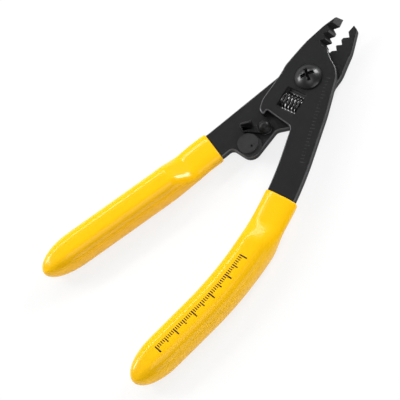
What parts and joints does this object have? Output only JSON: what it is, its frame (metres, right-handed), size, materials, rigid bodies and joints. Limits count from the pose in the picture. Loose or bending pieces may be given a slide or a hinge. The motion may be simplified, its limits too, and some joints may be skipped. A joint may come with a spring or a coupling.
{
  "type": "fibre stripper",
  "caption": "Hand-held fibre stripper: two pivoted steel plates with notched jaws, a return spring, a lock lever and moulded handle grips.",
  "frame": {"origin": "on the pivot axis, at the plane that the tool lies on (the back face of the pivot nut)", "axes": "+X from the pivot to the jaw tips, +Y to the front plate's jaw side, +Z out of the front face"},
  "size_m": [0.1686, 0.0765, 0.0124],
  "materials": {
    "black_steel": "satin black oxide",
    "black_lever": "satin black oxide",
    "black_fastener": "glossy black zinc",
    "stop_steel": "satin dark grey",
    "plain_steel": "zinc plated",
    "spring_steel": "bright drawn wire",
    "yellow_grip": "glossy moulded vinyl"
  },
  "bodies": {
    "rear": {"rear_plate": "black_steel", "pivot_screw": "black_fastener", "pivot_washer": "plain_steel", "pivot_nut": "plain_steel", "return_spring": "spring_steel", "lock_rivet": "black_fastener", "lock_washer": "plain_steel", "stop_cam": "stop_steel", "stop_screw": "black_fastener", "rear_grip": "yellow_grip"},
    "front": {"front_plate": "black_steel", "front_grip": "yellow_grip"},
    "lock": {"lock_lever": "black_lever"}
  },
  "joints": [
    {"name": "jaw_pivot", "type": "hinge", "parent": "rear", "child": "front", "pos_m": [0, 0, 0.0062], "axis": [0, 0, 1], "range_deg": [-16, 0], "stiffness_Nm_per_rad": 0.2, "springref_deg": 17.19, "deforming": ["return_spring"]},
    {"name": "lock_pivot", "type": "hinge", "parent": "rear", "child": "lock", "pos_m": [-0.02649, 0.00083, 0.0071], "axis": [0, 0, 1], "range_deg": [-62, 0]}
  ]
}
